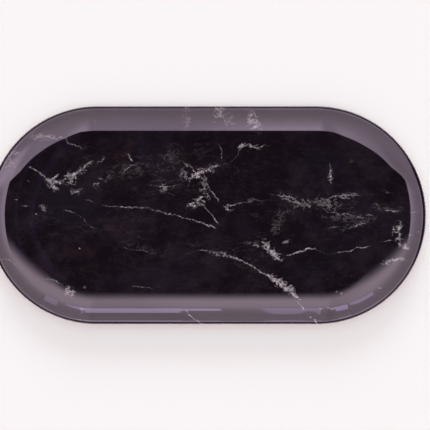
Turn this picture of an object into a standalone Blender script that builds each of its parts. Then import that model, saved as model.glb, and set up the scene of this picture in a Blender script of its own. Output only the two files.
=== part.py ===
"""An oblong serving tray with a marble face, in metres, +Z up.

The tray is one pressed sheet of thin steel, dished in a single sweep from a flat floor to the rim. There it
eases over a low shoulder, and its edge is curled round a stiffening wire, as on hand-made lacquered trays.
A printed marble film is bonded to the whole upper face and goes round the curl with the steel. Four soft
bumpers under the floor keep the tray off the table.

The origin is on the table, under the middle of the tray. +X runs along the length.
"""

import math

import bmesh
import bpy

# Overall size, measured over the curled rim.
LENGTH = 0.301
WIDTH = 0.150

# The dish: how far the wall reaches out from the flat floor, and how far it rises to the shoulder.
WALL_RUN = 0.033
WALL_RISE = 0.0126

# The layers.
STEEL_THICKNESS = 0.0003
FILM_THICKNESS = 0.0002
WIRE_DIAMETER = 0.0008
LAYER_GAP = 0.0001  # air left between two pieces that touch, so that their meshes never cross

# The shoulder lays the sheet back before the curl, which closes this far round the wire and stops short of
# the wall.
SHOULDER_RADIUS = 0.008
SHOULDER_TURN = math.radians(13)
CURL_TURN = math.radians(270)

# The bumpers.
FOOT_DIAMETER = 0.010
FOOT_HEIGHT = 0.0020
FOOT_EDGE_RADIUS = 0.0012
FOOT_INSET = 0.005  # from the floor's edge to the bumper's side
FOOT_BEARING = math.radians(70)  # round each rounded end, away from the long axis

# How finely round shapes are divided.
END_STEPS = 24  # along each rounded end
WALL_STEPS = 10
SHOULDER_STEPS = 3
CURL_STEPS = 12
FOOT_STEPS = 32
FOOT_EDGE_STEPS = 4

# What follows from the sizes above.
END_RADIUS = WIDTH / 2
STRAIGHT_HALF = (LENGTH - WIDTH) / 2
WALL_RADIUS = (WALL_RUN**2 + WALL_RISE**2) / (2 * WALL_RISE)
WALL_SLOPE = 2 * math.atan(WALL_RISE / WALL_RUN)
CURL_SLOPE = WALL_SLOPE - SHOULDER_TURN
CURL_RADIUS = WIRE_DIAMETER / 2 + LAYER_GAP + STEEL_THICKNESS / 2
FILM_LIFT = STEEL_THICKNESS / 2 + LAYER_GAP + FILM_THICKNESS / 2

# Where the arcs of the steel's section have their centres: insets from the rim, and heights.
CURL_INSET = CURL_RADIUS + FILM_LIFT + FILM_THICKNESS / 2
SHOULDER_INSET = CURL_INSET - (SHOULDER_RADIUS - CURL_RADIUS) * math.sin(CURL_SLOPE)
FLOOR_INSET = SHOULDER_INSET + SHOULDER_RADIUS * math.sin(WALL_SLOPE) + WALL_RUN
FLOOR_MIDDLE = FOOT_HEIGHT + LAYER_GAP + STEEL_THICKNESS / 2
SHOULDER_HEIGHT = FLOOR_MIDDLE + WALL_RISE - SHOULDER_RADIUS * math.cos(WALL_SLOPE)
CURL_HEIGHT = SHOULDER_HEIGHT + (SHOULDER_RADIUS - CURL_RADIUS) * math.cos(CURL_SLOPE)


def clear_scene():
    for obj in list(bpy.data.objects):
        bpy.data.objects.remove(obj)


def new_collection(name):
    collection = bpy.data.collections.new(name)
    bpy.context.scene.collection.children.link(collection)
    return collection


def new_material(name, colour, roughness, metallic=0.0):
    material = bpy.data.materials.new(name)
    material.use_nodes = True
    shader = material.node_tree.nodes["Principled BSDF"]
    shader.inputs["Base Color"].default_value = (*colour, 1.0)
    shader.inputs["Roughness"].default_value = roughness
    shader.inputs["Metallic"].default_value = metallic
    return material


def add_object(name, data, material, collection):
    obj = bpy.data.objects.new(name, data)
    if not data.materials:
        data.materials.append(material)
    collection.objects.link(obj)
    return obj


def stadium(inset):
    """The outline drawn in by inset: two straight sides joined by half circles, anticlockwise from above."""
    radius = END_RADIUS - inset
    points = []
    for side, start in ((1, -math.pi / 2), (-1, math.pi / 2)):
        for step in range(END_STEPS + 1):
            angle = start + math.pi * step / END_STEPS
            points.append((side * STRAIGHT_HALF + radius * math.cos(angle), radius * math.sin(angle)))
    return points


def arc(inset, height, reach, first_slope, last_slope, steps):
    """Points of a section's arc between two slopes of the sheet. A hollow arc has a negative reach."""
    points = []
    for step in range(steps + 1):
        slope = first_slope + (last_slope - first_slope) * step / steps
        points.append((inset + reach * math.sin(slope), height + reach * math.cos(slope)))
    return points


def sheet_section(lift):
    """(inset, height) from the floor's edge to the end of the curl, at a distance of lift above mid-steel."""
    wall = arc(FLOOR_INSET, FLOOR_MIDDLE + WALL_RADIUS, lift - WALL_RADIUS, 0, WALL_SLOPE, WALL_STEPS)
    shoulder = arc(
        SHOULDER_INSET, SHOULDER_HEIGHT, lift + SHOULDER_RADIUS, WALL_SLOPE, CURL_SLOPE, SHOULDER_STEPS
    )
    curl = arc(
        CURL_INSET, CURL_HEIGHT, lift + CURL_RADIUS, CURL_SLOPE, CURL_SLOPE - CURL_TURN, CURL_STEPS
    )
    return wall + shoulder[1:] + curl[1:]


def sheet_object(name, lift, thickness, material, collection):
    """A dished and curled sheet: rings of the outline lofted into one open surface, then made solid."""
    mesh = bmesh.new()
    rings = []
    for inset, height in sheet_section(lift):
        rings.append([mesh.verts.new((x, y, height)) for x, y in stadium(inset)])
    mesh.faces.new(rings[0])
    count = len(rings[0])
    for inner, outer in zip(rings, rings[1:]):
        for i in range(count):
            j = (i + 1) % count
            mesh.faces.new((inner[i], outer[i], outer[j], inner[j]))
    data = bpy.data.meshes.new(name)
    mesh.to_mesh(data)
    mesh.free()
    data.shade_smooth()
    obj = add_object(name, data, material, collection)
    shell = obj.modifiers.new("thickness", "SOLIDIFY")
    shell.thickness = thickness
    shell.offset = 0
    shell.use_even_offset = True
    shell.use_quality_normals = True
    return obj


def wire_object(name, material, collection):
    """A closed loop of wire that lies in the middle of the curl."""
    curve = bpy.data.curves.new(name, "CURVE")
    curve.dimensions = "3D"
    curve.bevel_depth = WIRE_DIAMETER / 2
    curve.bevel_resolution = 2
    spline = curve.splines.new("POLY")
    outline = stadium(CURL_INSET)
    spline.points.add(len(outline) - 1)
    for point, (x, y) in zip(spline.points, outline):
        point.co = (x, y, CURL_HEIGHT, 1)
    spline.use_cyclic_u = True
    return add_object(name, curve, material, collection)


def foot_mesh():
    """Half of a bumper's section, from its glued face down its outer side to the face that it stands on."""
    radius = FOOT_DIAMETER / 2
    section = [(0, FOOT_HEIGHT), (radius, FOOT_HEIGHT)]
    for step in range(FOOT_EDGE_STEPS + 1):
        angle = math.pi / 2 * step / FOOT_EDGE_STEPS
        across = radius - FOOT_EDGE_RADIUS * (1 - math.cos(angle))
        section.append((across, FOOT_EDGE_RADIUS * (1 - math.sin(angle))))
    section.append((0, 0))
    data = bpy.data.meshes.new("foot")
    points = [(x, 0, z) for x, z in section]
    data.from_pydata(points, [(i, i + 1) for i in range(len(points) - 1)], [])
    return data


def add_feet(material, collection):
    data = foot_mesh()
    radius = END_RADIUS - FLOOR_INSET - FOOT_INSET - FOOT_DIAMETER / 2
    along = STRAIGHT_HALF + radius * math.cos(FOOT_BEARING)
    across = radius * math.sin(FOOT_BEARING)
    for front, y in (("front", -across), ("back", across)):
        for side, x in (("left", -along), ("right", along)):
            foot = add_object(f"foot_{front}_{side}", data, material, collection)
            foot.location = (x, y, 0)
            turn = foot.modifiers.new("turned", "SCREW")
            turn.angle = 2 * math.pi
            turn.steps = turn.render_steps = FOOT_STEPS
            turn.use_merge_vertices = True
            turn.merge_threshold = 0.00001
            turn.use_smooth_shade = True


def main():
    clear_scene()
    tray = new_collection("marble_tray")
    enamel = new_material("black_enamel", (0.012, 0.011, 0.013), roughness=0.35)
    marble = new_material("marble_film", (0.010, 0.008, 0.011), roughness=0.06)
    steel = new_material("wire_steel", (0.55, 0.55, 0.56), roughness=0.35, metallic=1.0)
    rubber = new_material("foot_rubber", (0.030, 0.030, 0.032), roughness=0.6)
    sheet_object("tray_pan", 0, STEEL_THICKNESS, enamel, tray)
    sheet_object("marble_film", FILM_LIFT, FILM_THICKNESS, marble, tray)
    wire_object("rim_wire", steel, tray)
    add_feet(rubber, tray)


main()
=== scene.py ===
"""Looks of the oblong marble tray: fine meshes, node materials, a pale table and soft studio light."""

import math

import bmesh
import bpy
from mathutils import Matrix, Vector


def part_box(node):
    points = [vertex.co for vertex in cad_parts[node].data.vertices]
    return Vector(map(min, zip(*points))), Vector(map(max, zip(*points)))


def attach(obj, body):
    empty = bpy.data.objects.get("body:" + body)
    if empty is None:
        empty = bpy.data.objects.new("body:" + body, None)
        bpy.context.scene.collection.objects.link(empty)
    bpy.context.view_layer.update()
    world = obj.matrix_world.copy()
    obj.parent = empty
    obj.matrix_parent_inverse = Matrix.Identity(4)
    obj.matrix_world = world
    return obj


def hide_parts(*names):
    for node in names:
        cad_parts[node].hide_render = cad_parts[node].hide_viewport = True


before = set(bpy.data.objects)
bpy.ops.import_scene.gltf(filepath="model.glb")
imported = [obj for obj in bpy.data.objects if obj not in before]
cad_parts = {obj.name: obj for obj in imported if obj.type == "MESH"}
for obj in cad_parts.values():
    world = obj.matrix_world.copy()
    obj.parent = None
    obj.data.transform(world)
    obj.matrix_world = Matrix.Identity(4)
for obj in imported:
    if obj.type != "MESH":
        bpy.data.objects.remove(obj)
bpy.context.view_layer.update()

# The tray's sizes, as in the CAD model, in metres.
FILM_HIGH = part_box("marble_film")[1]
PAN_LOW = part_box("tray_pan")[0]
END_RADIUS = FILM_HIGH.y
STRAIGHT_HALF = FILM_HIGH.x - END_RADIUS
WALL_RUN = 0.033
WALL_RISE = 0.0126
STEEL_THICKNESS = 0.0003
FILM_THICKNESS = 0.0002
WIRE_DIAMETER = 0.0008
LAYER_GAP = 0.0001
SHOULDER_RADIUS = 0.008
SHOULDER_TURN = math.radians(13)
CURL_TURN = math.radians(270)
FOOT_DIAMETER = 0.010
FOOT_HEIGHT = 0.0020
FOOT_EDGE_RADIUS = 0.0012
FOOT_TOP_ROUNDING = 0.0001
DIMPLE_RADIUS = 0.0021
DIMPLE_DEPTH = 0.00025

WALL_RADIUS = (WALL_RUN**2 + WALL_RISE**2) / (2 * WALL_RISE)
WALL_SLOPE = 2 * math.atan(WALL_RISE / WALL_RUN)
CURL_SLOPE = WALL_SLOPE - SHOULDER_TURN
CURL_RADIUS = WIRE_DIAMETER / 2 + LAYER_GAP + STEEL_THICKNESS / 2
FILM_LIFT = STEEL_THICKNESS / 2 + LAYER_GAP + FILM_THICKNESS / 2
CURL_INSET = CURL_RADIUS + FILM_LIFT + FILM_THICKNESS / 2
SHOULDER_INSET = CURL_INSET - (SHOULDER_RADIUS - CURL_RADIUS) * math.sin(CURL_SLOPE)
FLOOR_INSET = SHOULDER_INSET + SHOULDER_RADIUS * math.sin(WALL_SLOPE) + WALL_RUN
FLOOR_MIDDLE = PAN_LOW.z + STEEL_THICKNESS / 2
SHOULDER_HEIGHT = FLOOR_MIDDLE + WALL_RISE - SHOULDER_RADIUS * math.cos(WALL_SLOPE)
CURL_HEIGHT = SHOULDER_HEIGHT + (SHOULDER_RADIUS - CURL_RADIUS) * math.cos(CURL_SLOPE)

# How finely the visible surfaces are divided.
END_STEPS = 80
SIDE_STEPS = 24
WALL_STEPS = 28
SHOULDER_STEPS = 8
CURL_STEPS = 36
WIRE_STEPS = 16
FOOT_STEPS = 96
FOOT_TOP_STEPS = 4
FOOT_EDGE_STEPS = 12
DIMPLE_STEPS = 8

# Faces that meet at more than this keep a sharp edge between them.
SHARP_ANGLE = math.radians(40)


# Node helpers


class Nodes:
    """Adds nodes to a tree, and links or sets each input by name or by place."""

    def __init__(self, tree):
        self.tree = tree

    def connect(self, socket, value):
        if isinstance(value, bpy.types.NodeSocket):
            self.tree.links.new(value, socket)
        else:
            socket.default_value = value

    def add(self, kind, inputs=None, **settings):
        node = self.tree.nodes.new(kind)
        for name, value in settings.items():
            setattr(node, name, value)
        for key, value in (inputs or {}).items():
            self.connect(node.inputs[key], value)
        return node

    def math(self, operation, first, second=0.0, third=0.0):
        inputs = {0: first, 1: second, 2: third}
        return self.add("ShaderNodeMath", inputs, operation=operation).outputs[0]

    def ramp(self, value, low, high, out_low=0.0, out_high=1.0):
        """A smooth step from out_low to out_high as value goes from low to high."""
        inputs = {"Value": value, "From Min": low, "From Max": high, "To Min": out_low, "To Max": out_high}
        return self.add("ShaderNodeMapRange", inputs, interpolation_type="SMOOTHSTEP").outputs[0]

    def mix(self, factor, first, second):
        node = self.add("ShaderNodeMix", data_type="RGBA")
        for name, value in (("Factor", factor), ("A", first), ("B", second)):
            self.connect([s for s in node.inputs if s.name == name and s.enabled][0], value)
        return [s for s in node.outputs if s.enabled][0]

    def noise(self, vector, scale, detail=2.0, roughness=0.5, output=0, **settings):
        inputs = {"Vector": vector, "Scale": scale, "Detail": detail, "Roughness": roughness}
        return self.add("ShaderNodeTexNoise", inputs, **settings).outputs[output]

    def vector(self, operation, first, second):
        """A vector operation on first and second, a vector or, for SCALE, a number."""
        inputs = {0: first, 3 if operation == "SCALE" else 1: second}
        return self.add("ShaderNodeVectorMath", inputs, operation=operation).outputs["Vector"]

    def dot(self, first, second):
        node = self.add("ShaderNodeVectorMath", {0: first, 1: second}, operation="DOT_PRODUCT")
        return node.outputs["Value"]

    def curve(self, value, points):
        """The height at value of straight lines through (place, height) points, level past both ends."""
        node = self.add("ShaderNodeFloatCurve", {"Value": value})
        node.mapping.use_clip = False
        node.mapping.extend = "HORIZONTAL"
        curve = node.mapping.curves[0]
        curve.points[0].location = points[0]
        curve.points[1].location = points[-1]
        for place, height in points[1:-1]:
            curve.points.new(place, height)
        for point in curve.points:
            point.handle_type = "VECTOR"
        node.mapping.update()
        return node.outputs[0]

    def bump(self, height, distance, strength=1.0):
        inputs = {"Height": height, "Distance": distance, "Strength": strength}
        return self.add("ShaderNodeBump", inputs).outputs["Normal"]

    def millimetres(self):
        """The surface point in millimetres, in the piece's own frame."""
        place = self.add("ShaderNodeTexCoord").outputs["Object"]
        return self.vector("SCALE", place, 1000)


def new_material(name):
    """A material, its nodes and its Principled BSDF."""
    material = bpy.data.materials.new(name)
    material.use_nodes = True
    shader = material.node_tree.nodes["Principled BSDF"]
    return material, Nodes(material.node_tree), shader


# The marble print. Veins and patches are given in millimetres from the tray's middle, seen from above.

# Veins that run along X, as (x, y, half width) places from left to right.
VEINS_ALONG_X = [
    # the long thin vein left of the middle, and the loop at its end
    [(-76, 8, 0), (-70, 7.5, 0.35), (-66, 6.5, 0.25), (-59, 6, 0.4), (-55, 5.6, 0.65), (-51, 5.8, 0.3),
     (-45, 5.5, 0.5), (-41, 5, 0.35), (-30, 2.5, 0.35), (-18, -0.5, 0.45), (-11, -2.5, 0.3), (-4, -4.5, 0.55),
     (5, -8, 0.75), (7, -9, 0)],
    [(-12, 4, 0), (-9, 6, 0.4), (-3, 8, 0.5), (1, 3, 0.6), (8, -5, 0.6), (9, -6, 0)],
    # the vein that climbs from the middle cluster to the far edge of the floor
    [(-8, 29, 0), (-5, 30, 0.9), (5, 34, 0.5), (9, 35, 0.15), (18, 38.5, 0.2), (21, 42, 0.35), (24, 49, 0.5),
     (29, 49.5, 0.6), (35, 47, 0.6), (40, 49, 0.4), (46, 49.5, 0)],
    [(-13, 38, 0), (-11, 34, 0.5), (-7, 29, 1.0), (-4, 27, 0.5), (0, 22, 0)],
    [(14, 6, 0.6), (24, 9, 0.3), (33, 11, 0.35), (45, 11, 0)],
    # the cluster at the left
    [(-125, 34, 0), (-121, 33, 0.8), (-118, 31, 0.3), (-116, 29.5, 0.8), (-113, 28, 0.5), (-110, 24, 1.3),
     (-107, 20.5, 1.6), (-104, 19.5, 0.9), (-102, 19, 0)],
    [(-111, 24, 0.8), (-108, 26, 1.0), (-105, 28.5, 1.0), (-103, 30, 0)],
    [(-109, 24.5, 0.4), (-106, 25, 0.9), (-102, 23.5, 0.8), (-100, 23, 0.2), (-97, 23, 0.6),
     (-93, 21.5, 0.3)],
    [(-99, 28, 0.5), (-95, 27.5, 2.0), (-92, 29, 1.4), (-89, 32, 0.8), (-84, 35.5, 0.5), (-81, 37.5, 0.9),
     (-79, 39, 0)],
    [(-96, 18, 0), (-93, 16.6, 0.6), (-89, 17, 0.5), (-87, 19, 0.3), (-86, 21, 0)],
    [(-126, 26, 0), (-124, 24, 0.4), (-122, 22, 0)],
    # the vein on the wall at the far left
    [(-123, 52, 0), (-119, 53, 0.5), (-115, 55, 0.5), (-110, 55, 0.6), (-105, 53, 0.5), (-101, 54, 0.6),
     (-99, 55, 0.5), (-97, 51, 0.4), (-93, 49, 0.4), (-88, 48, 0.35), (-86, 43, 0)],
    [(-135, 35, 0), (-133, 33, 0.4), (-129, 30, 0)],
    # short strokes left of the middle
    [(-58.5, 30, 0.3), (-57.5, 32, 0.6), (-55, 34, 0.5), (-50, 36.5, 0.4), (-48, 37, 0)],
    [(-44, 21, 0), (-38, 21.3, 0.3), (-30, 20.5, 0.5), (-22, 21, 0.3), (-21, 21, 0)],
    [(-29, 18, 0), (-26, 16, 0.4), (-22, 14, 0)],
    [(-130, 7.3, 0), (-126, 7, 0.35), (-122, 7, 0)],
    [(-101, 4, 0), (-97, 4, 0.45), (-93, 3, 0.35), (-90, 1, 0.15), (-85, -3, 0.3), (-83, -5, 0.15),
     (-80, -8, 0.4), (-77, -10, 0)],
    [(-87, 11, 0), (-83, 10.8, 0.4), (-77, 8, 0)],
    [(-62, -21, 0), (-56, -22.5, 0.25), (-48, -24, 0.2), (-44, -24.5, 0.3), (-36, -26, 0)],
    # the bold diagonal right of the middle, down to the near rim
    [(-9, -24, 0), (-5, -24, 0.4), (8, -25, 0.5), (15, -28, 0.65), (24, -31, 0.55), (33, -36, 0.5),
     (40, -40, 0.6), (44, -42.5, 1.6), (50, -46, 2.1), (56, -50.5, 2.1), (61, -54.5, 1.6), (65, -58, 0.2)],
    [(62.5, -59, 0.3), (64, -61.5, 0.6), (66, -64.5, 1.1), (67, -66, 0.6)],
    [(71, -70, 0.7), (73, -71.5, 0.3), (74.5, -73, 1.0), (76, -75, 0.6)],
    [(76, -64.5, 0), (78, -64, 0.6), (80, -64.5, 0)],
    [(81.5, -64, 0), (84, -64.3, 0.6), (86, -64, 0)],
    [(38, -18, 0), (41, -20, 1.2), (44, -24, 1.5), (48, -28, 1.2), (52, -31, 0)],
    [(51, -20, 0), (54, -18.5, 0.6), (58, -17, 0)],
    # the level vein to its right
    [(54, -28, 0), (57, -27, 0.6), (64, -25, 0.65), (71, -23, 0.7), (75, -23, 0.35), (80, -25, 0.15),
     (88, -26, 0.15), (94, -25, 0.5), (100, -24, 0.55), (105, -22, 0.5), (110, -22, 0.5), (115, -19.5, 0)],
    [(120, -18.5, 0), (125, -17.5, 0.5), (131, -17, 0)],
    [(120, -35, 0), (123, -32, 0.4), (126, -31, 0.5), (129, -31, 0.8), (132, -29.5, 0.9), (134, -31, 0.4),
     (141, -32, 0)],
    [(-118, -44, 0), (-111, -44, 0.35), (-106, -45, 0.45), (-100, -48, 0.3), (-98, -50, 0)],
    [(-143, -31, 0.3), (-137, -31, 0.4), (-131, -35, 0.4), (-127, -38, 0)],
    [(-56, -49, 0), (-46, -49, 0.35), (-31, -52, 0)],
    [(-16, -65, 0), (-14, -66, 0.7), (-11.5, -69, 0.7), (-8, -71.5, 0.4), (-5, -73.5, 0.7), (-3, -75, 0.3)],
    [(138, 2, 0), (142, 2, 0.35), (149, 2, 0)],
    # the thin web at the middle right
    [(47, 14, 0), (50, 14, 0.4), (59, 13, 0.45), (66, 8, 0.5), (70, 9, 0.2), (75, 10, 0.5), (84, 12, 0.25),
     (90, 13.5, 0.6), (99, 14.5, 0.55), (105, 15, 0)],
    [(76, 10, 0.2), (80, 5, 0.3), (84, 2.5, 0.2), (90, 1.5, 0.4), (97, 1, 0.4), (106, 0, 0)],
    [(109, 0, 0), (113, 0, 0.5), (117, 1, 0)],
    [(98, -2, 0), (105, -1, 0.5), (110, -2, 0)],
    [(98, -9, 0), (101, -8, 0.4), (106, -6, 0.5), (112, -4, 0.3), (114, -4, 0)],
    [(113, 8, 0), (118, 8, 0.35), (123, 7, 0)],
    [(121, 4, 0), (126, 4, 0.5), (130, 3, 0.4), (137, 3, 0)],
    [(43, -11, 0), (46, -8, 0.3), (49, -2, 0.2), (54, 2, 0.3), (58, 4, 0.2), (66, 8, 0.35)],
    [(81, -9, 0), (88, -8, 0.4), (97, -8, 0)],
]

# Veins that run along Y, as (y, x, half width) places from near to far.
VEINS_ALONG_Y = [
    [(8, 8, 0), (12, 7, 0.5), (16, 4, 0.45), (20, 1, 0.4), (28, -2, 0.35), (33, -2, 0)],
    [(37, 10, 0), (41, 10, 0.5), (45, 10, 0.5), (52, 7, 0)],
    [(34, -77, 0), (37, -76, 0.4), (40, -72, 0.5), (43, -73, 0)],
    [(38, -51.5, 0.3), (40, -52.5, 0.6), (43, -54.5, 0.5), (44, -55, 0)],
    [(62, -78, 0), (66, -78, 0.3), (70, -78, 0)],
    [(1, -112, 0), (4, -112, 0.4), (7, -114, 0)],
    [(-24, 135, 0), (-20, 134, 0.5), (-15, 133, 0.6), (-10, 134, 0.6), (-6, 131, 0)],
    [(21, 86, 0), (25, 86, 0.6), (29, 86, 1.0), (38, 86, 0)],
    [(60, 16, 0), (64, 13, 0.5), (68, 11, 0.4), (70, 10, 0)],
    [(61, -14, 0), (65, -14.5, 0.3), (72, -14, 0)],
]

# Feathered patches, as (x, y, half length, half width, turn in degrees, strength).
PATCHES = [
    # the middle
    (-7, 29.5, 5, 3, 30, 0.95),
    (-14, 36, 3, 1.5, -60, 0.4),
    (-15, 27, 3, 5, 20, 0.35),
    (3, 33, 5, 2.5, 25, 0.5),
    (-2, 20, 3, 7, 8, 0.35),
    (-6, 10, 7.5, 2.6, 28, 0.85),
    (15, 6, 3, 2, 0, 0.7),
    (32, 11, 6, 1.6, 0, 0.25),
    (24, 49, 2, 1.8, 0, 0.9),
    (31, 48.5, 5.5, 2, -12, 0.55),
    (-25, 42, 6, 4, 20, 0.10),
    (-30, 20, 3, 2.6, 60, 0.5),
    (-55, 32, 16, 5, 8, 0.07),
    (-69, 27, 4, 2, 60, 0.15),
    (-76, 23, 3.5, 1.7, 60, 0.5),
    # the left
    (-108, 22, 5, 2.6, -40, 0.8),
    (-101, 24, 5, 1.6, 0, 0.35),
    (-95, 26, 4.5, 4, 60, 0.85),
    (-87, 32, 6, 2.4, 38, 0.35),
    (-91, 17, 4, 1.8, 0, 0.4),
    (-114, 54, 9, 2.6, 0, 0.3),
    (-134, 42, 5, 2, 10, 0.45),
    (-137, 35, 5, 3, 20, 0.4),
    (-95, -53, 4, 3, -30, 0.6),
    (-44, -23, 14, 2.4, -18, 0.05),
    (-89, -23, 0.8, 0.5, 0, 0.8),
    (-85, -49, 0.9, 0.8, 0, 0.8),
    (-132, 11, 0.9, 0.6, 0, 0.7),
    (-114, 5, 2, 2.6, 20, 0.5),
    (-119, 1, 0.9, 0.6, 0, 0.6),
    # the far wall
    (-14, 68, 2.6, 8, 0, 0.25),
    (8, 70, 6, 4, 60, 0.5),
    (16, 66, 5, 3, -60, 0.25),
    (32, 65, 7, 4, -55, 0.7),
    # the right
    (43, -22, 6, 2.6, -45, 0.9),
    (36, -20.5, 3.5, 1.4, -5, 0.6),
    (49, -28, 4, 2.4, -40, 0.9),
    (55, -18.5, 2.4, 1, 20, 0.6),
    (28, -18, 2.5, 1.2, -30, 0.35),
    (53, -48.5, 10, 3, -38, 0.9),
    (11, -27, 8, 2, -12, 0.4),
    (58, 12.5, 8, 2.4, -20, 0.45),
    (68, 8, 7, 3, 0, 0.35),
    (84, 9, 8, 5, -10, 0.28),
    (98, 14, 7, 1.8, 5, 0.4),
    (50, -2, 4, 9, -20, 0.1),
    (48, -9, 3, 4, 0, 0.18),
    (86, 28, 1.8, 4, 0, 0.45),
    (102, 38, 4, 1.2, 0, 0.15),
    (100, -1, 16, 2.5, -2, 0.14),
    (104, -6, 10, 2, 18, 0.15),
    (124, 17, 3, 1, 0, 0.3),
    (125, 5, 9, 2, 0, 0.15),
    (132, -9, 5, 2.5, 60, 0.8),
    (133, -15, 4, 2.5, 90, 0.8),
    (136, -21, 4, 2, -40, 0.7),
    (126, -32, 5, 1.6, 20, 0.6),
    (133, -30, 3, 1.5, 0, 0.8),
    (140, -14, 1, 0.8, 0, 0.7),
    (144, -13, 2, 1, 20, 0.5),
    (119, -50, 1, 0.7, 0, 0.7),
    (58, -74, 1, 0.9, 0, 0.8),
    (90, -52, 1, 0.8, 0, 0.7),
    (93, -54, 1, 0.8, 0, 0.7),
]

# Where faint threads cover the stone, in the same terms.
WEBS = [
    (-35, 32, 50, 20, -4, 0.8),
    (78, 5, 55, 16, -6, 0.9),
    (20, 35, 45, 22, 0, 0.4),
    (-70, -10, 60, 14, -8, 0.35),
    (20, -25, 40, 14, -10, 0.5),
]

# How strongly a vein shows for each millimetre of its half width.
VEIN_GAIN = 1.45

VEIN_COLOUR = (0.225, 0.194, 0.210, 1)
HAZE_COLOUR = (0.024, 0.019, 0.022, 1)
BLUE_HAZE = (0.0044, 0.0032, 0.0062, 1)
BROWN_HAZE = (0.0068, 0.0038, 0.0050, 1)
STONE_BLACK = (0.0022, 0.0012, 0.0021, 1)
STONE_GREY = (0.0062, 0.0037, 0.0060, 1)


def vein_mask(nodes, along, across, places):
    """How strongly a vein shows, from its places (along, across, half width). Its ends taper off."""
    centre = nodes.curve(along, [(a, b) for a, b, width in places])
    ends = [(places[0][0] - 1, 0)], [(places[-1][0] + 1, 0)]
    width = nodes.curve(along, ends[0] + [(a, width) for a, b, width in places] + ends[1])
    distance = nodes.math("ABSOLUTE", nodes.math("SUBTRACT", across, centre))
    share = nodes.math("DIVIDE", distance, nodes.math("MAXIMUM", width, 0.001))
    return nodes.ramp(share, 0.2, 1.3, nodes.math("MULTIPLY", width, VEIN_GAIN), 0)


def patch_mask(nodes, place, fringe, patch):
    """How strongly a patch shows: full in its middle, drawn out along the fringe's threads."""
    x, y, length, width, turn, strength = patch
    cosine = math.cos(math.radians(turn))
    sine = math.sin(math.radians(turn))
    offset = nodes.vector("SUBTRACT", place, (x, y, 0))
    along = nodes.dot(offset, (cosine / length, sine / length, 0))
    across = nodes.dot(offset, (-sine / width, cosine / width, 0))
    square = nodes.math("MULTIPLY_ADD", across, across, nodes.math("MULTIPLY", along, along))
    reach = nodes.math("ADD", nodes.math("SQRT", square), fringe)
    return nodes.ramp(reach, 0.1, 1.0, strength, 0)


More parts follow.
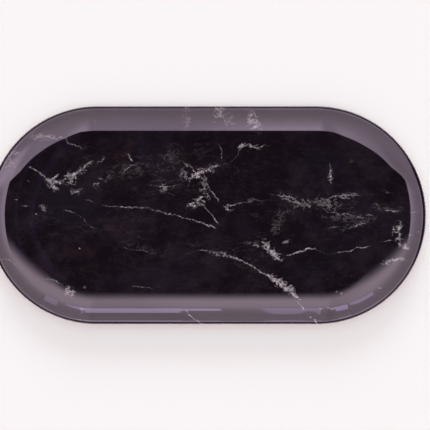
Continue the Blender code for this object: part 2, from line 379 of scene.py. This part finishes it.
def marble_material():
    material, nodes, shader = new_material("black_marble_under_gloss")
    point = nodes.millimetres()
    flat = nodes.vector("MULTIPLY", point, (1, 1, 0))

    # The print wanders a little at three scales, so that no vein runs true.
    place = flat
    for scale, reach in ((0.16, 3.0), (0.55, 1.8), (1.7, 0.7)):
        swirl = nodes.vector("SUBTRACT", nodes.noise(flat, scale, 2, output="Color"), (0.5, 0.5, 0.5))
        place = nodes.vector("ADD", place, nodes.vector("SCALE", swirl, reach))
    place = nodes.vector("MULTIPLY", place, (1, 1, 0))
    parts = nodes.add("ShaderNodeSeparateXYZ", {0: place}).outputs

    # Thin threads, drawn out a little along the tray.
    drawn = nodes.vector("MULTIPLY", nodes.vector("ADD", place, (0, 0, 3.7)), (0.7, 1.1, 1))
    threads = nodes.math("ABSOLUTE", nodes.math("SUBTRACT", nodes.noise(drawn, 0.24, 3, 0.55), 0.5))
    fringe = nodes.ramp(threads, 0.0, 0.10, -0.6, 0.7)

    veins = 0.0
    for places in VEINS_ALONG_X:
        veins = nodes.math("MAXIMUM", veins, vein_mask(nodes, parts["X"], parts["Y"], places))
    for places in VEINS_ALONG_Y:
        veins = nodes.math("MAXIMUM", veins, vein_mask(nodes, parts["Y"], parts["X"], places))
    patches = 0.0
    for patch in PATCHES:
        patches = nodes.math("MAXIMUM", patches, patch_mask(nodes, place, fringe, patch))

    # Veins and patches come and go with a fine noise, and dark cracks cross both.
    density = nodes.ramp(nodes.noise(flat, 0.5, 4, 0.7), 0.40, 0.60, 0.10, 1)
    cracks = nodes.math("ABSOLUTE", nodes.math("SUBTRACT", nodes.noise(place, 0.38, 3, 0.6), 0.5))
    cracks = nodes.ramp(cracks, 0.0, 0.06, 0.35, 1)
    white = nodes.math("MULTIPLY", nodes.math("MINIMUM", veins, 1.0), density)
    patches = nodes.math("MULTIPLY", patches, nodes.ramp(density, 0.1, 0.7, 0.3, 1))
    white = nodes.math("MAXIMUM", white, patches)
    white = nodes.math("MULTIPLY", white, cracks)

    # Faint hairlines and smoke all over the stone.
    hair = nodes.vector("ADD", nodes.vector("MULTIPLY", place, (0.45, 1.3, 0)), (40, 11, 5.3))
    hair = nodes.math("ABSOLUTE", nodes.math("SUBTRACT", nodes.noise(hair, 0.11, 5, 0.62), 0.5))
    hair = nodes.ramp(hair, 0.0, 0.02, 1, 0)
    where = nodes.vector("ADD", flat, (60, 30, 9.1))
    drift = nodes.ramp(nodes.noise(where, 0.035, 4, 0.6), 0.3, 0.7, 0.5, -0.6)
    webs = 0.12
    for web in WEBS:
        webs = nodes.math("MAXIMUM", webs, patch_mask(nodes, flat, drift, web))
    hair = nodes.math("MULTIPLY", hair, webs)
    smoke = nodes.ramp(nodes.noise(where, 0.05, 6, 0.65), 0.42, 0.7)
    colour = nodes.mix(smoke, STONE_BLACK, STONE_GREY)
    blue = nodes.noise(nodes.vector("ADD", flat, (-20, 80, 4.2)), 0.02, 3, 0.5)
    colour = nodes.mix(nodes.ramp(blue, 0.5, 0.7, 0, 0.6), colour, BLUE_HAZE)
    brown = nodes.noise(nodes.vector("ADD", flat, (90, -50, 6.6)), 0.045, 5, 0.65)
    colour = nodes.mix(nodes.ramp(brown, 0.52, 0.75, 0, 0.8), colour, BROWN_HAZE)
    colour = nodes.mix(hair, colour, HAZE_COLOUR)
    colour = nodes.mix(white, colour, VEIN_COLOUR)
    nodes.connect(shader.inputs["Base Color"], colour)

    # A deep gloss, faintly smeared, with the slightest orange peel.
    smear = nodes.ramp(nodes.noise(flat, 0.04, 4, 0.6), 0.4, 0.7, 0.03, 0.06)
    nodes.connect(shader.inputs["Roughness"], smear)
    peel = nodes.noise(point, 0.35, 2, 0.5)
    nodes.connect(shader.inputs["Normal"], nodes.bump(peel, 0.00001, 0.3))
    shader.inputs["IOR"].default_value = 1.5
    shader.inputs["Specular IOR Level"].default_value = 1.0
    shader.inputs["Specular Tint"].default_value = (1, 0.84, 0.96, 1)
    shader.inputs["Coat Weight"].default_value = 1.0
    shader.inputs["Coat Roughness"].default_value = 0.02
    return material


def enamel_material():
    """Satin black stoving enamel on the underside, with a fine mottle and a few rubbed places."""
    material, nodes, shader = new_material("black_stoving_enamel")
    point = nodes.millimetres()
    mottle = nodes.noise(point, 1.2, 4, 0.6)
    rubbed = nodes.ramp(nodes.noise(point, 0.03, 5, 0.65), 0.52, 0.7)
    worn = nodes.math("MULTIPLY", mottle, rubbed)
    colour = nodes.mix(worn, (0.011, 0.010, 0.011, 1), (0.035, 0.033, 0.034, 1))
    nodes.connect(shader.inputs["Base Color"], colour)
    satin = nodes.ramp(mottle, 0.3, 0.7, 0.30, 0.42)
    roughness = nodes.math("ADD", satin, nodes.math("MULTIPLY", rubbed, 0.12))
    nodes.connect(shader.inputs["Roughness"], roughness)
    nodes.connect(shader.inputs["Normal"], nodes.bump(mottle, 0.00002, 0.35))
    return material


def wire_material():
    """Drawn steel wire: bright, with fine lines along it and a little dulling."""
    material, nodes, shader = new_material("drawn_steel_wire")
    point = nodes.millimetres()
    lines = nodes.noise(nodes.vector("MULTIPLY", point, (0.15, 0.15, 14)), 1.0, 3, 0.6)
    colour = nodes.mix(lines, (0.36, 0.35, 0.34, 1), (0.58, 0.57, 0.56, 1))
    nodes.connect(shader.inputs["Base Color"], colour)
    nodes.connect(shader.inputs["Roughness"], nodes.ramp(lines, 0.3, 0.7, 0.28, 0.45))
    nodes.connect(shader.inputs["Normal"], nodes.bump(lines, 0.00001, 0.4))
    shader.inputs["Metallic"].default_value = 1.0
    return material


def rubber_material():
    """Moulded black rubber: matt, finely grained, paler where dust clings."""
    material, nodes, shader = new_material("moulded_rubber")
    point = nodes.millimetres()
    grain = nodes.noise(point, 6.0, 3, 0.6)
    dust = nodes.ramp(nodes.noise(point, 0.5, 4, 0.7), 0.5, 0.72, 0, 0.5)
    colour = nodes.mix(dust, (0.016, 0.016, 0.017, 1), (0.055, 0.052, 0.050, 1))
    nodes.connect(shader.inputs["Base Color"], colour)
    nodes.connect(shader.inputs["Roughness"], nodes.ramp(grain, 0.3, 0.7, 0.62, 0.82))
    nodes.connect(shader.inputs["Normal"], nodes.bump(grain, 0.00003, 0.5))
    return material


# Meshes


def outline(inset):
    """(x, y) round the tray's outline drawn in by inset, anticlockwise from above."""
    radius = END_RADIUS - inset
    points = []
    for side, start in ((1, -math.pi / 2), (-1, math.pi / 2)):
        for step in range(END_STEPS + 1):
            angle = start + math.pi * step / END_STEPS
            points.append((side * STRAIGHT_HALF + radius * math.cos(angle), radius * math.sin(angle)))
        for step in range(1, SIDE_STEPS):
            points.append((side * STRAIGHT_HALF * (1 - 2 * step / SIDE_STEPS), side * radius))
    return points


def arc(inset, height, reach, first_slope, last_slope, steps):
    """(inset, height) points about a centre, by the slope that a sheet lying on the arc has there.

    No point is higher than the top of the CAD film."""
    points = []
    for step in range(steps + 1):
        slope = first_slope + (last_slope - first_slope) * step / steps
        points.append((inset + reach * math.sin(slope), min(height + reach * math.cos(slope), FILM_HIGH.z)))
    return points


def sheet_section(lift):
    """(inset, height) from the floor's edge to the end of the curl, lift above the middle of the steel."""
    wall = arc(FLOOR_INSET, FLOOR_MIDDLE + WALL_RADIUS, lift - WALL_RADIUS, 0, WALL_SLOPE, WALL_STEPS)
    shoulder = arc(SHOULDER_INSET, SHOULDER_HEIGHT, lift + SHOULDER_RADIUS, WALL_SLOPE, CURL_SLOPE,
                   SHOULDER_STEPS)
    curl = arc(CURL_INSET, CURL_HEIGHT, lift + CURL_RADIUS, CURL_SLOPE, CURL_SLOPE - CURL_TURN, CURL_STEPS)
    return wall + shoulder[1:] + curl[1:]


def piece_from(name, mesh, material):
    """Turns a bmesh into a smooth-shaded object in the scene."""
    data = bpy.data.meshes.new(name)
    mesh.to_mesh(data)
    mesh.free()
    data.shade_smooth()
    data.set_sharp_from_angle(angle=SHARP_ANGLE)
    data.materials.append(material)
    piece = bpy.data.objects.new(name, data)
    bpy.context.scene.collection.objects.link(piece)
    return piece


def bridge(mesh, inner, outer):
    """Faces between two closed rings of as many points."""
    for i in range(len(inner)):
        j = (i + 1) % len(inner)
        mesh.faces.new((inner[i], outer[i], outer[j], inner[j]))


def sheet_piece(name, lift, thickness, material):
    """A dished and curled sheet, as rings of the outline on its two faces, joined along the curl's end."""
    half = thickness / 2
    section = sheet_section(lift + half) + sheet_section(lift - half)[::-1]
    mesh = bmesh.new()
    rings = [[mesh.verts.new((x, y, height)) for x, y in outline(inset)] for inset, height in section]
    mesh.faces.new(rings[0])
    mesh.faces.new(rings[-1][::-1])
    for inner, outer in zip(rings, rings[1:]):
        bridge(mesh, inner, outer)
    return piece_from(name, mesh, material)


def wire_piece(name, material):
    """The round wire inside the curled edge, as rings of the outline."""
    mesh = bmesh.new()
    rings = []
    for step in range(WIRE_STEPS):
        turn = 2 * math.pi * step / WIRE_STEPS
        inset = CURL_INSET - WIRE_DIAMETER / 2 * math.sin(turn)
        height = CURL_HEIGHT + WIRE_DIAMETER / 2 * math.cos(turn)
        rings.append([mesh.verts.new((x, y, height)) for x, y in outline(inset)])
    for inner, outer in zip(rings, rings[1:] + rings[:1]):
        bridge(mesh, inner, outer)
    return piece_from(name, mesh, material)


def foot_piece(name, node, material):
    """A moulded foot: a flat top with a fine rounding, a domed lower edge and a shallow dimple underneath."""
    low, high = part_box(node)
    middle = (low + high) / 2
    radius = FOOT_DIAMETER / 2
    rounding = FOOT_TOP_ROUNDING
    profile = [(0, FOOT_HEIGHT), (radius - 2 * rounding, FOOT_HEIGHT)]
    for step in range(FOOT_TOP_STEPS + 1):
        turn = math.pi / 2 * step / FOOT_TOP_STEPS
        height = FOOT_HEIGHT - rounding + rounding * math.cos(turn)
        profile.append((radius - rounding + rounding * math.sin(turn), height))
    for step in range(FOOT_EDGE_STEPS + 1):
        turn = math.pi / 2 * step / FOOT_EDGE_STEPS
        reach = radius - FOOT_EDGE_RADIUS + FOOT_EDGE_RADIUS * math.cos(turn)
        profile.append((reach, FOOT_EDGE_RADIUS - FOOT_EDGE_RADIUS * math.sin(turn)))
    for step in range(1, DIMPLE_STEPS + 1):
        share = step / DIMPLE_STEPS
        profile.append((DIMPLE_RADIUS * (1 - share), DIMPLE_DEPTH * math.sin(math.pi / 2 * share)))
    mesh = bmesh.new()
    rings = []
    for reach, height in profile[1:-1]:
        ring = []
        for step in range(FOOT_STEPS):
            turn = 2 * math.pi * step / FOOT_STEPS
            ring.append(mesh.verts.new((reach * math.cos(turn), reach * math.sin(turn), low.z + height)))
        rings.append(ring)
    for upper, lower in zip(rings, rings[1:]):
        bridge(mesh, upper, lower)
    for ring, (reach, height), flip in ((rings[0], profile[0], False), (rings[-1], profile[-1], True)):
        centre = mesh.verts.new((0, 0, low.z + height))
        for i in range(FOOT_STEPS):
            j = (i + 1) % FOOT_STEPS
            corners = (ring[j], ring[i], centre) if flip else (ring[i], ring[j], centre)
            mesh.faces.new(corners)
    piece = piece_from(name, mesh, material)
    piece.location = (middle.x, middle.y, 0)
    return piece


# The table, the light and the camera. The camera looks down, turned a little towards the far side.

TABLE_RADIUS = 20
TABLE_COLOUR = (0.385, 0.375, 0.375, 1)

CAMERA_PLACE = (0.0056, -0.06512, 1.0)
CAMERA_TILT = math.radians(3.77)
CAMERA_LENS = 120.25
SENSOR_WIDTH = 36

BACKDROP_COLOUR = (0.90, 0.86, 0.87, 1)
WARM_GLOSS = (1, 0.88, 0.98, 1)
COOL_GLOSS = (1, 0.87, 1.05, 1)
MATT_LIGHT = (0.5, 0.33, 0.335, 1)
WINDOW_COLOUR = (1, 0.83, 1.2, 1)
CEILING_COLOUR = (0.012, 0.0088, 0.0115, 1)
BEAM_COLOUR = (0.026, 0.023, 0.048, 1)

# The studio's parts are placed by direction. across and along say where a direction meets a plane one
# unit overhead: across grows to the right, and along to the far side. Directions lower than the lowest
# height are taken at that height. A height is the sine of the angle above level.
LOWEST_HEIGHT = 0.02
CEILING_MIDDLE = -0.09
CEILING_HALF_WIDTH = 1.41
CEILING_SIDE_BLUR = 0.05
CEILING_NEAR_BLUR = 0.015
CEILING_FAR_BLUR = (-0.18, 0.36)
WINDOW_TOP = 0.475
WINDOW_TOP_BLUR = 0.005
WINDOW_SILL_BLUR = 0.004
WINDOW_STRENGTH = 0.8
NO_WINDOW = 1

# Soft lights from above, as (name, strength, spread, tilt, colour), with spread and tilt in degrees.
FILLS = [
    ("overhead_fill", 3.7, 18, -6, (1, 0.68, 0.69)),
    ("wide_fill", 3.5, 64, -2, (0.64, 0.96, 0.97)),
    ("far_fill", 2.3, 30, 62, (0.86, 0.98, 0.98)),
]

# Panes of daylight beyond the far side, as (name, left, right, low, high) in metres.
PANES = [
    ("wide_pane", -0.20, -0.05, 0.475, 0.690),
    ("short_pane", -0.05, 0.015, 0.570, 0.675),
]
PANE_DISTANCE = 1.2
PANE_RADIANCE = 1.6
PANE_COLOUR = (0.72, 0.62, 1.0)


def add_table():
    bpy.ops.mesh.primitive_circle_add(vertices=96, radius=TABLE_RADIUS, fill_type="NGON")
    table = bpy.context.object
    table.name = "table"
    material, nodes, shader = new_material("pale_table")
    shader.inputs["Base Color"].default_value = TABLE_COLOUR
    shader.inputs["Roughness"].default_value = 0.7
    table.data.materials.append(material)


def ceiling_mask(nodes, across, along):
    """Where the dark ceiling is: open at the sides, and soft at its far edge."""
    sides = nodes.math("ABSOLUTE", nodes.math("ADD", across, -CEILING_MIDDLE))
    ceiling = nodes.ramp(sides, CEILING_HALF_WIDTH, CEILING_HALF_WIDTH + CEILING_SIDE_BLUR, 1, 0)
    near_edge = nodes.curve(across, [(-1.6, -0.50), (-1.32, -0.56), (-0.90, -0.56), (-0.69, -0.65),
                                     (-0.42, -0.71), (-0.22, -0.78), (-0.10, -0.87), (0.10, -0.87),
                                     (0.25, -0.75), (0.39, -0.71), (0.53, -0.66), (0.72, -0.60),
                                     (0.92, -0.49), (1.4, -0.45)])
    inside = nodes.math("SUBTRACT", along, near_edge)
    inside = nodes.ramp(inside, -CEILING_NEAR_BLUR, CEILING_NEAR_BLUR)
    ceiling = nodes.math("MULTIPLY", ceiling, inside)
    far_edge = nodes.curve(nodes.math("ABSOLUTE", across), [(0, 0.83), (0.15, 0.80), (0.3, 0.62),
                                                            (1.0, 0.55), (1.6, 0.55)])
    beyond = nodes.math("SUBTRACT", along, far_edge)
    return nodes.math("MULTIPLY", ceiling, nodes.ramp(beyond, *CEILING_FAR_BLUR, 1, 0))


def wall_glow(nodes, height, across, along):
    """How bright the walls are, by direction."""
    # They are brighter higher up, with a slightly dimmer strip left of the middle.
    glow = nodes.curve(height, [(0.26, 0.86), (0.37, 0.95), (0.45, 1.16), (0.49, 1.38), (0.54, 1.60),
                                (0.60, 1.66)])
    strip = nodes.curve(across, [(-0.6, 1), (-0.2, 0.85), (-0.10, 0.85), (-0.03, 1)])
    glow = nodes.math("MULTIPLY", glow, strip)

    # The near side has its own wall, also brighter higher up, with pale screens before it: one left of
    # the middle, a brighter one right of it, and one far to the right. The far left is dimmer.
    near = nodes.curve(along, [(-3.6, 0.80), (-2.56, 0.87), (-1.98, 0.97), (-1.31, 1.12), (-0.97, 1.21)])
    middle_screens = nodes.curve(along, [(-2, 0), (-1.59, 0.15), (-1.31, 0.40), (-1.1, 0.58), (-0.97, 0.82)])
    shares = nodes.curve(across, [(-1.1, -0.35), (-0.8, 0), (-0.5, 0.2), (-0.22, 0.42), (-0.14, 0.1),
                                  (-0.03, 0), (0.05, 0.85), (0.10, 0.8), (0.3, 0.05), (0.6, 0.05),
                                  (1.1, 0.05), (1.3, 0)])
    near = nodes.math("ADD", near, nodes.math("MULTIPLY", middle_screens, shares))
    right_screen = nodes.curve(along, [(-1.45, 0), (-1.2, 0.6), (-0.9, 0.75)])
    near = nodes.math("ADD", near, nodes.math("MULTIPLY", right_screen, nodes.ramp(across, 1.0, 1.4)))
    return nodes.mix(nodes.ramp(along, -0.75, -0.3, 1, 0), glow, near)


def window_row(nodes, parts):
    """How bright a row of windows on the far side is, by heading and by the height of its sill."""
    heading = nodes.math("ARCTAN2", parts["X"], parts["Y"])
    sill = nodes.curve(heading, [(-0.53, NO_WINDOW), (-0.52, 0.385), (-0.34, 0.385), (-0.25, 0.43),
                                 (-0.245, NO_WINDOW), (0.031, NO_WINDOW), (0.033, 0.46), (0.041, 0.295),
                                 (0.060, 0.295), (0.069, 0.40), (0.078, 0.43), (0.08, 0.40),
                                 (0.23, 0.455), (0.235, NO_WINDOW), (0.30, NO_WINDOW), (0.31, 0.32),
                                 (0.45, 0.32), (0.46, NO_WINDOW)])
    share = nodes.curve(heading, [(0.03, 1), (0.033, 0.8), (0.078, 0.8), (0.08, 1), (0.25, 1), (0.3, 0.6)])
    above = nodes.math("SUBTRACT", parts["Z"], sill)
    above = nodes.ramp(above, -WINDOW_SILL_BLUR, WINDOW_SILL_BLUR)
    below = nodes.ramp(parts["Z"], WINDOW_TOP - WINDOW_TOP_BLUR, WINDOW_TOP + WINDOW_TOP_BLUR, 1, 0)
    window = nodes.math("MULTIPLY", above, below)
    return nodes.math("MULTIPLY", window, share)


def add_world():
    """A pale studio with a dark ceiling over the tray and windows at the far side."""
    world = bpy.data.worlds.new("studio")
    bpy.context.scene.world = world
    world.use_nodes = True
    nodes = Nodes(world.node_tree)
    background = world.node_tree.nodes["Background"]
    direction = nodes.add("ShaderNodeTexCoord").outputs["Generated"]
    parts = nodes.add("ShaderNodeSeparateXYZ", {0: direction}).outputs
    up = nodes.math("MAXIMUM", parts["Z"], LOWEST_HEIGHT)
    across = nodes.math("DIVIDE", parts["X"], up)
    along = nodes.math("DIVIDE", parts["Y"], up)

    # Two dim bluish beams cross the ceiling.
    ceiling = ceiling_mask(nodes, across, along)
    beams = nodes.curve(across, [(0.05, 0), (0.15, 1), (0.30, 0), (0.60, 0), (0.70, 1), (0.80, 0)])
    ceiling_colour = nodes.mix(beams, CEILING_COLOUR, BEAM_COLOUR)
    glow = wall_glow(nodes, parts["Z"], across, along)
    window = window_row(nodes, parts)

    # Gloss reflects a studio that is cooler overhead. Matt surfaces are lit by a dimmer, pinker one,
    # with the same windows and ceiling.
    rays = nodes.add("ShaderNodeLightPath").outputs
    cool = nodes.curve(along, [(-1.9, 0), (-1.2, 1), (0.6, 1), (0.9, 0)])
    glossy = nodes.mix(cool, WARM_GLOSS, COOL_GLOSS)
    colour = nodes.mix(rays["Is Diffuse Ray"], glossy, MATT_LIGHT)
    colour = nodes.mix(window, colour, WINDOW_COLOUR)
    strength = nodes.math("ADD", glow, nodes.math("MULTIPLY", window, WINDOW_STRENGTH))
    colour = nodes.mix(ceiling, colour, ceiling_colour)

    # Looked at past the table, the studio is one plain pale wall.
    seen = rays["Is Camera Ray"]
    nodes.connect(background.inputs["Color"], nodes.mix(seen, colour, BACKDROP_COLOUR))
    nodes.connect(background.inputs["Strength"], nodes.mix(seen, strength, (1, 1, 1, 1)))


def add_fill(name, strength, spread, tilt, colour):
    """A soft light on matt surfaces only. It comes from above, tilt degrees over to the far side."""
    light = bpy.data.lights.new(name, "SUN")
    light.energy = strength
    light.angle = math.radians(spread)
    light.color = colour
    fill = bpy.data.objects.new(name, light)
    fill.rotation_euler = (math.radians(-tilt), 0, 0)
    fill.visible_glossy = False
    bpy.context.scene.collection.objects.link(fill)


def add_pane(name, left, right, low, high):
    """A pane of lavender daylight beyond the far side, seen only in the gloss."""
    light = bpy.data.lights.new(name, "AREA")
    light.shape = "RECTANGLE"
    light.size = right - left
    light.size_y = high - low
    light.color = PANE_COLOUR
    light.energy = PANE_RADIANCE * math.pi * light.size * light.size_y
    pane = bpy.data.objects.new(name, light)
    pane.location = ((left + right) / 2, PANE_DISTANCE, (low + high) / 2)
    pane.rotation_euler = (math.radians(-90), 0, 0)
    pane.visible_camera = False
    pane.visible_diffuse = False
    bpy.context.scene.collection.objects.link(pane)


def add_camera():
    camera = bpy.data.cameras.new("camera")
    camera.lens = CAMERA_LENS
    camera.sensor_width = SENSOR_WIDTH
    camera_object = bpy.data.objects.new("camera", camera)
    camera_object.location = CAMERA_PLACE
    camera_object.rotation_euler = (CAMERA_TILT, 0, 0)
    bpy.context.scene.collection.objects.link(camera_object)
    bpy.context.scene.camera = camera_object


def add_piece(piece, node):
    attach(piece, "root")
    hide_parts(node)


def main():
    add_camera()
    add_table()
    add_world()
    for fill in FILLS:
        add_fill(*fill)
    for pane in PANES:
        add_pane(*pane)
    bpy.context.scene.view_settings.view_transform = "Standard"
    face = sheet_piece("marble_face", FILM_LIFT, FILM_THICKNESS, marble_material())
    add_piece(face, "marble_film")
    pan = sheet_piece("enamelled_pan", 0, STEEL_THICKNESS, enamel_material())
    add_piece(pan, "tray_pan")
    add_piece(wire_piece("edge_wire", wire_material()), "rim_wire")
    rubber = rubber_material()
    for place in ("front_left", "front_right", "back_left", "back_right"):
        add_piece(foot_piece("bumper_" + place, "foot_" + place, rubber), "foot_" + place)


main()
